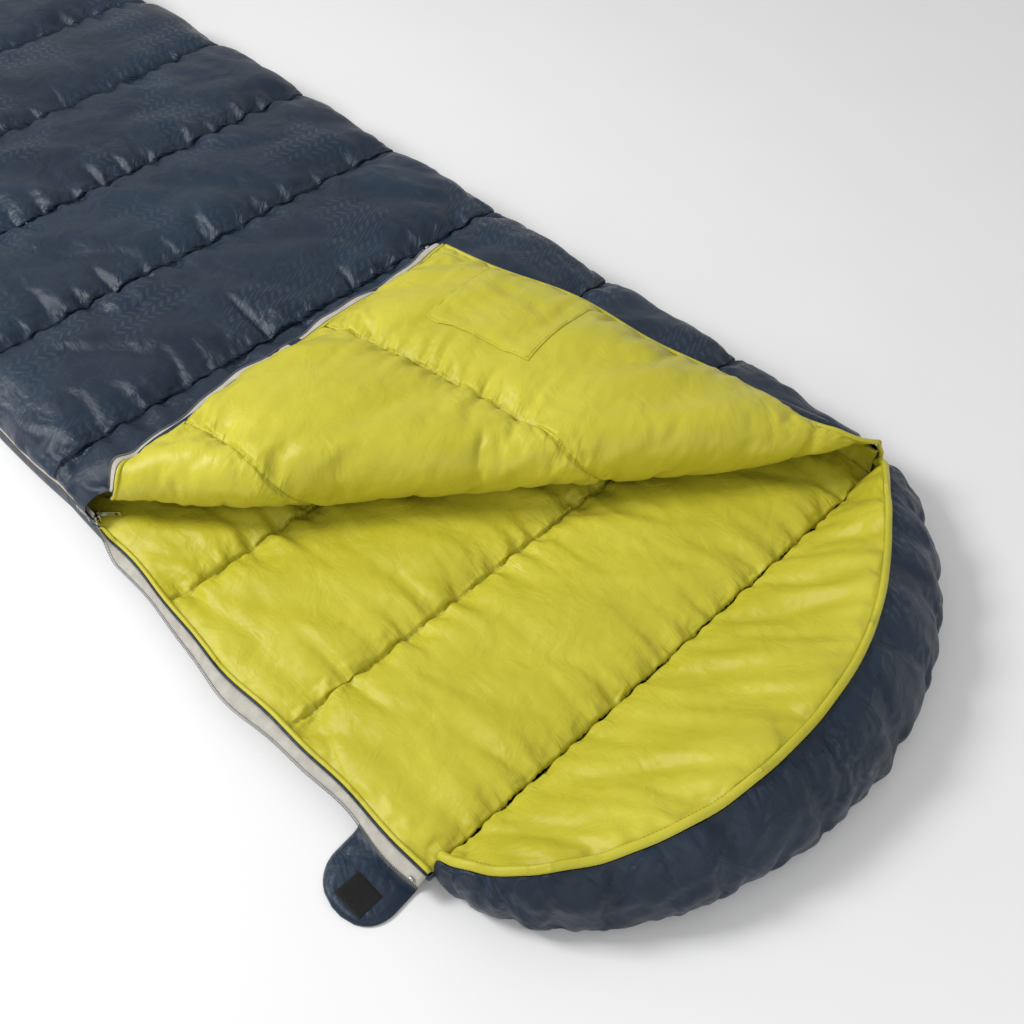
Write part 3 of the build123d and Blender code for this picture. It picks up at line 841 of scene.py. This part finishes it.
# navy side of the folded corner, which lies on the cover
X, Y, left, keep = corner_net(SEAM_Y, np.linspace(0, 1, 60), inner_limit)
along, out = fold_parts(X, Y)
lift = quarter(X - left, 60) * quarter(Y - HEM_Y, 50)
closed_z = mix(2 * FOLD_Z - FLAP_LOW - 2, cover_top(X, Y), lift)
closed_z = mix(FOLD_Z - 0.5, closed_z, smooth((out + inner_limit(X, Y)) / 30))
points = fold_place(along, -out, 2 * FOLD_Z - closed_z)
flap_under = Grid("flap_shell_underside", points, stack(X, Y), NAVY, keep=keep)

# navy strip inside the fold, which spans from the cover to the corner when the bag is closed
STRIP_HALF = 0.9
along = np.linspace(8, 975, 110)
strip_out = np.minimum(0, fold_bow(along) - 7) - 7.0
points = np.array([fold_place(along, strip_out, FOLD_Z + side * STRIP_HALF) for side in (-1, 1)])
fold_strip = Grid("fold_inner_strip", points, points[..., [0, 2]], NAVY)

# ---- hood
RIM_START = 50  # height of the rim's two ends
SLOPE = (RIM_TOP - 9 - RIM_START) / RIM_B
turn = np.linspace(-math.pi / 2, math.pi / 2, 129)
HOOD_Y = SEAM_Y - 1


def rim_point(angle, drop, widen=0.0):
    """Point on the hood's rim."""
    x = HOOD_X + (HOOD_A - 7 + widen) * np.sin(angle)
    side = np.sin(angle)
    skew = 1 - 0.18 * side * (1 - side**2) - 0.75 * np.maximum(side, 0) ** 2.5
    reach = np.maximum((RIM_B - 6 + widen) * np.cos(angle), 0) * skew
    z = RIM_START + SLOPE * RIM_B * np.cos(angle).clip(0) ** 0.75 - drop
    z = z + 1.4 * np.sin(angle * 17) + np.sin(angle * 31)
    return stack(x, HOOD_Y - reach, z)


steps = np.linspace(1, 0, 40)
T, A = np.meshgrid(steps, turn, indexing="ij")
rim = rim_point(A, drop=1)
X = rim[..., 0]
reach = HOOD_Y - rim[..., 1]
Y = HOOD_Y + 3.5 - T * (reach + 3.5)
deep = np.sqrt(np.clip(1 - ((X - HOOD_X) / HOOD_A) ** 2, 0, 1))
seam_z = mix(EDGE_Z - 4, SEAM_Z - 1, quarter(HOOD_A - 7 - np.abs(X - HOOD_X), 60)) - 1.2
dip = np.sin(math.pi * np.clip(T * 1.15, 0, 1)) ** 0.8 * -6 * deep
Z = mix(seam_z, rim[..., 2], T ** 1.25) + dip + 9 * np.sin(math.pi * T) ** 0.5 * deep
Z = Z + 5.2 * creases(X + 0.4 * Y, Y * 0.2, 44, 71) * np.sin(math.pi * T) ** 0.6 * deep
Z = Z + 9.0 * creases(X + 0.8 * Y, Y * 0.25, 110, 72) * np.sin(math.pi * T) * deep
flat_y = SEAM_Y - np.hypot(reach, rim[..., 2] - seam_z) * T
hood_lining = Grid("hood_lining_quilt", stack(X, Y, Z), stack(X, flat_y), LIME)
hold = (T < 0.01) | (T > 0.99) | (np.abs(A) > 1.5)
swell(hood_lining, hold, 0.09, 11)

# wall from the seam line under the hood out to the floor's edge and up to the rim
under_steps = np.linspace(0, 1, 14)[:-1]
wall_steps = np.linspace(0, 1, 26)
turn = np.linspace(-math.pi / 2, math.pi / 2, 181)
floor_wave = 3 * ripple(turn * 400, turn * 0, 120, 81) + 1.6 * creases(turn * 400, turn * 0, 61, 82)
floor_wave *= np.cos(turn) ** 0.4
edge_x = HOOD_X + (HOOD_A - 2 + floor_wave * 0.6) * np.sin(turn)
edge_y = HOOD_Y - (HOOD_B - 4 + floor_wave) * np.cos(turn) * (1 - 0.1 * np.maximum(np.sin(turn), 0) ** 2)
rim = rim_point(turn, drop=3, widen=5)
points = []
for s in under_steps:
    points.append(stack(edge_x * 0.995, mix(HOOD_Y, edge_y, s), 0.6))
outward = stack(np.sin(turn), -np.cos(turn) * 0.9)
tall = (rim[:, 2] - 2) / 110
for s in wall_steps:
    up = 1 - (1 - s) ** 1.05
    base_x, base_y = mix(edge_x, rim[:, 0], s ** 1.5), mix(edge_y, rim[:, 1], s ** 1.5)
    z = mix(1.5, rim[:, 2], up)
    arch = math.sin(math.pi * s)
    wave = 4.5 * creases(turn * 150, z * 1.6, 62, 83) + 2.5 * creases(turn * 330, z * 0.9, 40, 84)
    push = ((13 * arch**0.8 + wave * arch**0.7) * tall)[:, None] * outward
    points.append(stack(base_x + push[:, 0], base_y + push[:, 1], z))
points = np.array(points)
flat = stack(arc_length(rim)[None, :], arc_length(points))
hood_wall = Grid("hood_wall_padding", points, flat, NAVY)
hold = np.zeros(points.shape[:2], bool)
hold[: len(under_steps) + 1] = hold[-1] = True
hold[:, :2] = hold[:, -2:] = True
swell(hood_wall, hold, 0.09, 12)

# lining inside the sewn side, where the base and the cover meet
LOW, HIGH = 33, 84  # of the lining's wall
wall_y = np.linspace(SEAM_Y - 1, SEAM_Y + 150, 32)
Y, Z = np.meshgrid(wall_y, np.linspace(LOW, HIGH, 12), indexing="ij")
arch = np.sin(math.pi * (Z - LOW) / (HIGH - LOW))
X = sewn_edge(Y) - 2.5 + 5.5 * arch + 1.6 * creases(Y, Z * 0.5, 26, 95)
X = X - 26 * smooth((Z - 74) / 20)
side_lining = Grid("side_lining", stack(X, Y, Z), stack(Z + SEWN_X, Y), LIME)

run_swelling()

# ---- hems, piping and stitches


def hem_line(y):
    return stack(zip_edge(y) - 1.5, y, EDGE_Z - 2.5 + 0.5 * np.sin(y / 19))


open_y = np.arange(SEAM_Y - 2, SLIDER_Y - 8, 6.0)
hem = tube("floor_hem", hem_line(open_y), 6.0, 5.0, LIME)
line = hem_line(open_y) + (-4.2, 0, -1.6)
piping = tube("floor_piping", line, 3.2, 3.2, NAVY)
closed_y = np.arange(SLIDER_Y - 8, FOOT_Y, 12.0)

# zip of the base: taped edge that lies outwards, its chain along the outer side
wave = 2.2 * np.sin(open_y / 47) + 1.4 * np.sin(open_y / 21 + 2)
wave += 4.5 * np.exp(-((open_y + 560) / 110) ** 2)
settle = smooth((SLIDER_Y - 12 - open_y) / 60)
inner = hem_line(open_y) + (-4.5, 0, -3.5)
outer = inner + stack(-1 - (10.5 + wave) * settle, 0, 10 - 17 * settle)
tape_low = ribbon("zip_tape_base", inner, outer, 1.0, TAPE, across=6, bow=0.8)


def coil(name, path, pitch=2.3, width=3.6, height=2.4, start=0.0):
    """Moulded spiral coil along a path: one flattened turn per tooth."""
    path = np.asarray(path, float)
    travel = arc_length(path)
    spot = np.linspace(0, travel[-1], int(travel[-1] / pitch * 7))  # seven points a turn
    line = between(spot, travel, path)
    tangent, side, normal = frames_along(line, UP)
    angle = math.tau * spot / pitch + start
    line = line + side * np.cos(angle)[:, None] * width / 2 + normal * np.sin(angle)[:, None] * height / 2
    return tube(name, line, 0.8, 0.8, COIL, up=normal, corners=4, closed_ends=False)


coil_low = coil("zip_coil_base", outer + (-1.0, 0, 0.6))

# closed stretch of the zip: both tapes, both coils
seam_line = stack(cover_edge(closed_y) + 1, closed_y, CHAIN_Z)
low_inner = seam_line + (1.5, 0, -12)
mid = seam_line + (-3.2, 0, -1.4)
tape_closed_low = ribbon("zip_tape_base_closed", low_inner, mid, 1.0, TAPE, across=5, bow=0.5)
high_inner, high_outer = seam_line + (1.5, 0, 12), mid + (0, 0, 2.8)
tape_closed_up = ribbon("zip_tape_cover", high_inner, high_outer, 1.0, TAPE, across=5, bow=0.5)
flat_turns = {"height": 1.6, "width": 2.6}
coil_closed_low = coil("zip_coil_base_closed", mid + (-1.1, 0, 0.3), **flat_turns)
coil_closed_up = coil("zip_coil_cover", mid + (-1.1, 0, 2.2), start=math.pi, **flat_turns)

# folded corner: hem, piping, tape and coil
edge_y = np.linspace(FOLD_AT[1] - 4, HEM_Y, 110)
edge_left = flap_left(edge_y)
edge_closed = flap_place(edge_left, edge_y)
wavy = 1.6 * np.sin(edge_y / 27.0) + 1.2 * np.sin(edge_y / 11.0)
edge_closed[:, 2] += 0.4 * wavy
hem_closed = flap_place(np.linspace(FLAP_CORNER_X, FLAP_FAR_X, 120), np.full(120, HEM_Y))
flap_hem = join("flap_hem", [tube("a", edge_closed, 6.0, 5.0, LIME), tube("b", hem_closed, 7.0, 6.0, LIME)])
mouth = np.array([hem_closed[-1], (398.0, SEAM_Y + 2, 84), (404.5, SEAM_Y - 1, 70), (402.0, SEAM_Y - 3, 58)])
mouth = between(np.linspace(0, 3, 26), range(4), mouth)
mouth[1:-1] = (mouth[:-2] + mouth[1:-1] * 2 + mouth[2:]) / 4
mouth_hem = tube("mouth_hem", mouth, 6.5, 6.5, LIME, up=(1, 0, 0))
run = edge_closed[-1] - edge_closed[0]
away = np.array([-run[1], run[0], 0.0]) / math.hypot(run[0], run[1])
flap_piping = tube("flap_piping", edge_closed + away * 4.2 + (0, 0, -1.6), 3.2, 3.2, NAVY)
inner = edge_closed + away * 4.0 + (0, 0, -2.4)
outer = edge_closed + away * (15.0 + wavy[:, None]) + (0, 0, -4.0)
tape_flap = ribbon("zip_tape_corner", inner[3:], outer[3:], 1.0, TAPE, across=6, bow=0.6)
coil_flap = coil("zip_coil_corner", outer[4:-4] + away * 1.0 + (0, 0, 0.6))


def stop(name, at, run):
    """Folded metal end stop round the end of a coil."""
    run = np.asarray(run, float)
    path = at + run * np.linspace(-3.2, 3.2, 9)[:, None]
    size = 4.6 * np.array([0.6, 0.9, 1, 1.06, 1, 1.06, 1, 0.9, 0.6])
    return tube(name, path, size, size * 0.8, METAL, corners=10)


stop_low = stop("zip_stop_base", hem_line(np.array([SEAM_Y + 8.0]))[0] + (-16.5, 0, -6), (0, 1, 0))
stop_flap = stop("zip_stop_corner", outer[-4] + away + (0, 0, 0.8), run / np.linalg.norm(run))
stop_foot = stop("zip_stop_foot", mid[-3] + (-1.2, 0, 1.4), (0, 1, 0))

# hood rim piping and its stitch line
turn = np.linspace(-math.pi / 2, math.pi / 2, 150)
rim = rim_point(turn, drop=0)
rim_out = stack(np.sin(turn) * 0.7, -np.cos(turn) * 0.7, 0.72)
rim_tube = tube("hood_rim_piping", rim + (0, 0, 1.0), 11.0, 8.0, LIME, up=rim_out, corners=10)
inward = stack(-np.sin(turn), np.cos(turn), 0)
line = rim + inward * 5.4 + (0, 0, 2.2)
rim_stitch = stitches("hood_rim_stitching", line, UP + 0.35 * inward, THREAD_LIME)

# guard tab with its hook patch
tab_low, tab_high = box_mm("guard_tab")
tab_x = np.linspace(0, 1, 24)
tab_across = np.linspace(-1, 1, 19)
half = (tab_high[1] - tab_low[1]) / 2
tab_y = (tab_high[1] + tab_low[1]) / 2
tab_zip_x = tab_high[0] - 5
tab_long = tab_high[0] - tab_low[0] - 4
TAB_DROP, TAB_LOFT, TAB_SLANT = 23.0, 6.5, 9  # mm down from the zip, of padding and off square


def tab_thick(t, v):
    """Padding of the guard tab where t runs from the zip to its round end and v across it."""
    return TAB_LOFT * (1 - np.abs(v) ** 4) ** 0.5 * (1 - 0.8 * np.maximum(0, (t - 0.9) / 0.1) ** 3) + 1.4


def tab_surface(top):
    """One face of the guard tab: down from the zip, then out over the floor to a round end."""
    t, v = tab_x[:, None], tab_across
    round_end = np.sqrt(np.maximum(0, 1 - (np.maximum(0, t - 0.55) / 0.452) ** 2.2))
    y = tab_y + v * (half * round_end + 3) - TAB_SLANT * t
    z = TAB_DROP * (1 - smooth(t / 0.3)) + (tab_thick(t, v) + 0.8 * np.sin(y / 9) if top else 0.5)
    return stack(tab_zip_x - tab_long * t, y, z)


upper, lower = tab_surface(1), tab_surface(0)
ring = np.concatenate([upper, lower[:, ::-1]], axis=1)
flat = stack(ring[..., 1], ring[..., 0])
tab = Grid("guard_tab_padding", ring, flat, NAVY, loop=True)
close_ends(tab, band_ends(len(tab_x), len(tab_across)))


def bristles(name, low, high, z_of, count_x, count_y, height, thick, hooked):
    """Pile of a patch: a short hook or loop on every knot."""
    points, faces = [], []
    rng = np.random.default_rng(len(name))
    for i in range(count_x):
        for j in range(count_y):
            x = mix(low[0] + 1, high[0] - 1, (i + 0.5) / count_x) + rng.normal(0, 0.12)
            y = mix(low[1] + 1, high[1] - 1, (j + 0.5) / count_y) + rng.normal(0, 0.12)
            base = len(points)
            lean = rng.normal(0, 0.25)
            z = z_of(x, y)
            for level, size in ((0, 1.0), (0.7, 0.9), (1.0, 1.5 if hooked else 0.6)):
                for a in range(4):
                    q = math.tau * a / 4
                    place_x = x + math.cos(q) * thick * size + lean * level
                    points.append((place_x, y + math.sin(q) * thick * size, z + level * height))
            faces.extend(ring_faces(base, 3, 4))
            faces.append((base + 8, base + 9, base + 10, base + 11))
    return put(name, points, faces, BLACK, soft=False)


def patch_base(name, low, high, z_of):
    """Backing of a patch, turned down by about a millimetre round its border."""
    gx, gy = np.meshgrid(np.linspace(low[0], high[0], 14), np.linspace(low[1], high[1], 16))
    z = np.vectorize(z_of)(gx, gy)
    inner = stack(gx, gy, z)
    edge = np.zeros_like(gx, bool)
    edge[0] = edge[-1] = edge[:, 0] = edge[:, -1] = True
    inner[..., 2] -= np.where(edge, 0.96, 0.0)
    return Grid(name, inner, stack(gx, gy), BLACK).object


def patch(name, node, backing_z, pile_z, *pile):
    """Hook or loop patch over the plan of its CAD part."""
    low, high = box_mm(node)
    things = [patch_base("a", low, high, backing_z), bristles("b", low, high, pile_z, *pile)]
    return join(name, things)


def tab_top(x, y):
    """Height of a patch on the guard tab's upper face."""
    t = (tab_zip_x - x) / tab_long
    v = np.clip((y - tab_y + TAB_SLANT * t) / (half + 3), -0.97, 0.97)
    return float(TAB_DROP * (1 - smooth(t / 0.3)) + tab_thick(t, v) + 0.8 * math.sin(y / 9)) + 1.3


LOOP_Z = box_mm("loop_patch")[0][2]
hook = patch("hook_patch_pile", "hook_patch", tab_top, tab_top, 20, 24, 1.1, 0.28, True)
loop = patch("loop_patch_pile", "loop_patch", lambda x, y: LOOP_Z + 1.0, lambda x, y: LOOP_Z - 0.2,
             16, 18, 1.0, 0.4, False)


# stitches that follow the swollen cloth
def quilting(name, grid, seams, line_x, rise, thread, shown=lambda x, y, place: x == x):
    """Stitches along quilting seams, given by number, where shown picks the points that carry them."""
    rows = []
    for y in SEAM_Y + BAY * np.array(seams):
        x = line_x(y)
        place, normal = grid.at(x, np.full_like(x, y))
        seen = shown(x, y, place)
        if seen.sum() > 4:
            rows.append(stitches("s", place[seen] + normal[seen] * rise, normal[seen], thread))
    return join(name, rows)


floor_stitching = quilting(
    "floor_seam_stitching", floor_lining, range(OPEN_BAYS + 1),
    lambda y: np.linspace(ZIP_X + 8, SEWN_X - 8, 90), 0.5, THREAD_LIME)
flap_stitching = quilting(
    "flap_seam_stitching", flap, (1, 2), lambda y: np.linspace(FLAP_FAR_X - 4, flap_left(y) + 5, 160),
    -1.6, THREAD_LIME, lambda x, y, place: past_fold(x, y) > -NOSE * 0.4)
cover_stitching = quilting(
    "cover_seam_stitching", cover, range(1, BAYS),
    lambda y: np.linspace(cover.flat[5, 5, 0], cover.flat[5, -5, 0], 170),
    -1.6, THREAD_NAVY, lambda x, y, place: past_fold(place[:, 0], place[:, 1]) < -6)

# pocket on the folded corner: a flat panel open at the hem side, sewn down round its other three
pocket_x = np.linspace(-45, -215, 27)
pocket_y = np.linspace(-812, -668, 25)
PY, PX = np.meshgrid(pocket_y, pocket_x, indexing="ij")
place = flap.at(PX, PY)[0].reshape(PX.shape + (3,))
inner = np.minimum(np.minimum(PX - pocket_x[-1], pocket_x[0] - PX), pocket_y[-1] - PY)
place[..., 2] += 1.0 + 2.2 * quarter(inner, 30) + 0.8 * ripple(PX, PY, 40, 91) * quarter(inner, 20)
pocket = Grid("corner_pocket", place, stack(PX, PY), LIME)
border_x = np.concatenate([np.full(40, -48.0), np.linspace(-48, -212, 44), np.full(40, -212.0)])
border_y = np.concatenate([np.linspace(-808, -671, 40), np.full(44, -671.0), np.linspace(-671, -808, 40)])
place, normal = flap.at(border_x, border_y)
pocket_stitching = stitches("corner_pocket_stitching", place + UP * 1.5, UP + 0 * place, THREAD_LIME)

# ---- finish the meshes
for grid in (floor_lining, cover, cover_lining, side_lining, flap, flap_under, hood_lining, hood_wall, under):
    work = bmesh.new()
    work.from_mesh(grid.object.data)
    bmesh.ops.delete(work, geom=[v for v in work.verts if not v.link_faces], context="VERTS")
    bmesh.ops.remove_doubles(work, verts=work.verts[:], dist=0.05 * MM)
    work.to_mesh(grid.object.data)
    work.free()
    refine(grid.object)
    if grid in (floor_lining, cover, flap, hood_lining):
        groove(grid.object)

# ---- bodies, nodes and finishes
riding = {
    "base": [side_lining.object, mouth_hem, floor_lining.object, under.object, cover.object,
             cover_lining.object, hem, piping, tape_low, coil_low, tape_closed_low, tape_closed_up,
             coil_closed_low, coil_closed_up, stop_low, stop_foot, floor_stitching, cover_stitching],
    "cover_flap": [flap_under.object, flap_hem, flap_piping, tape_flap, coil_flap, stop_flap, loop],
    "guard": [tab.object, hook],
}
for body, things in riding.items():
    for thing in things:
        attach(thing, body)


def fold_point(out, z):
    """A point over the start of the fold, in metres."""
    return tuple(fold_place(0, out, z) * MM)


for thing in (flap.object, flap_stitching, pocket.object, pocket_stitching):
    fold_point(4, 108)
    fold_point(7, 94)
    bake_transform(thing)
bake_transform(fold_strip.object, "cover_flap", "base",
         start=fold_point(0, FOLD_Z + STRIP_HALF), end=fold_point(0, FOLD_Z - STRIP_HALF))
for thing in (hood_lining.object, hood_wall.object, rim_tube, rim_stitch):
    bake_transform(thing)

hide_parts("bottom_lining", "bottom_fill")
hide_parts("bottom_shell")
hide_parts("top_shell", "top_fill", "side_seam", "foot_seam")
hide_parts("top_lining")
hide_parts("flap_lining", "flap_fill")
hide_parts("inner_pocket")
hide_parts("flap_shell")
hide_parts("hood_lining", "hood_wall_fill")
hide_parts("hood_wall_shell", "hood_floor_shell", "hood_floor_fill")
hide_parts("hood_rim")
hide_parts("zip_tape_lower")
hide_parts("zip_tape_upper")
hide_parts("zip_tape_flap")
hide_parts("zip_coil_lower")
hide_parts("zip_coil_upper")
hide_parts("zip_coil_flap")
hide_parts("zip_head_stop_lower")
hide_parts("zip_head_stop_flap")
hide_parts("zip_foot_stop")
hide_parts("guard_tab")
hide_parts("hook_patch")
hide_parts("loop_patch")

slots = {
    "navy_shell": [fold_strip.object, under.object, cover.object, flap_under.object, hood_wall.object,
                   tab.object, piping, flap_piping, cover_stitching],
    "lime_lining": [side_lining.object, mouth_hem, pocket.object, pocket_stitching, floor_lining.object,
                    cover_lining.object, flap.object, hood_lining.object, hem, flap_hem, rim_tube,
                    rim_stitch, floor_stitching, flap_stitching],
    "zip_tape": [tape_low, tape_closed_low, tape_closed_up, tape_flap],
    "zip_coil": [coil_low, coil_closed_low, coil_closed_up, coil_flap],
    "zip_metal": [stop_low, stop_flap, stop_foot],
    "black_patch": [hook, loop],
}
for name, things in slots.items():
    for thing in things:
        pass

finishes = {"slider_body": METAL, "outer_pin": METAL, "inner_pin": METAL,
            "outer_pull": PULL, "inner_pull": PULL}
for node, material in finishes.items():
    thing = frame["nodes"][node]
    for place in thing.material_slots:
        place.material = material
    if not thing.material_slots:
        thing.data.materials.append(material)

# ---- floor, light and camera
FLOOR = solid_material("studio_floor", (0.86, 0.86, 0.86), (0.83, 0.83, 0.83), 0.9, scale=30.0, depth=0.0001)
FLOOR_HALF, FLOOR_Z = 9000, -1
corners = [(x * FLOOR_HALF, y * FLOOR_HALF, FLOOR_Z) for x, y in ((-1, -1), (1, -1), (1, 1), (-1, 1))]
floor = put("studio_floor", corners, [(0, 1, 2, 3)], FLOOR)
world = bpy.data.worlds.new("studio")
bpy.context.scene.world = world
world.use_nodes = True
background = world.node_tree.nodes["Background"].inputs
background["Color"].default_value = (1, 1, 1, 1)
background["Strength"].default_value = 0.56


AIM = (0, -0.4, 0)  # metres, the middle of the open half


def soft_light(name, at, size, power):
    """Rectangular area light turned to the bag."""
    data = bpy.data.lights.new(name, "AREA")
    data.shape = "RECTANGLE"
    data.size, data.size_y = size
    data.energy = power
    thing = bpy.data.objects.new(name, data)
    thing.location = at
    thing.rotation_euler = (Vector(AIM) - Vector(at)).to_track_quat("-Z", "Y").to_euler()
    bpy.context.collection.objects.link(thing)


soft_light("key", (-1.6, 1.1, 2.2), (0.9, 0.9), 70)
soft_light("front", (-1.2, -2.4, 1.3), (1.6, 1.0), 9)
bpy.context.scene.view_settings.view_transform = "Standard"

camera_data = bpy.data.cameras.new("camera")
camera_data.lens, camera_data.sensor_width = 43.62, 36
camera = bpy.data.objects.new("camera", camera_data)
camera.location = (-0.7356, -1.2993, 1.2540)
camera.rotation_euler = (math.radians(40.87), 0, math.radians(-44.77))
bpy.context.collection.objects.link(camera)
bpy.context.scene.camera = camera
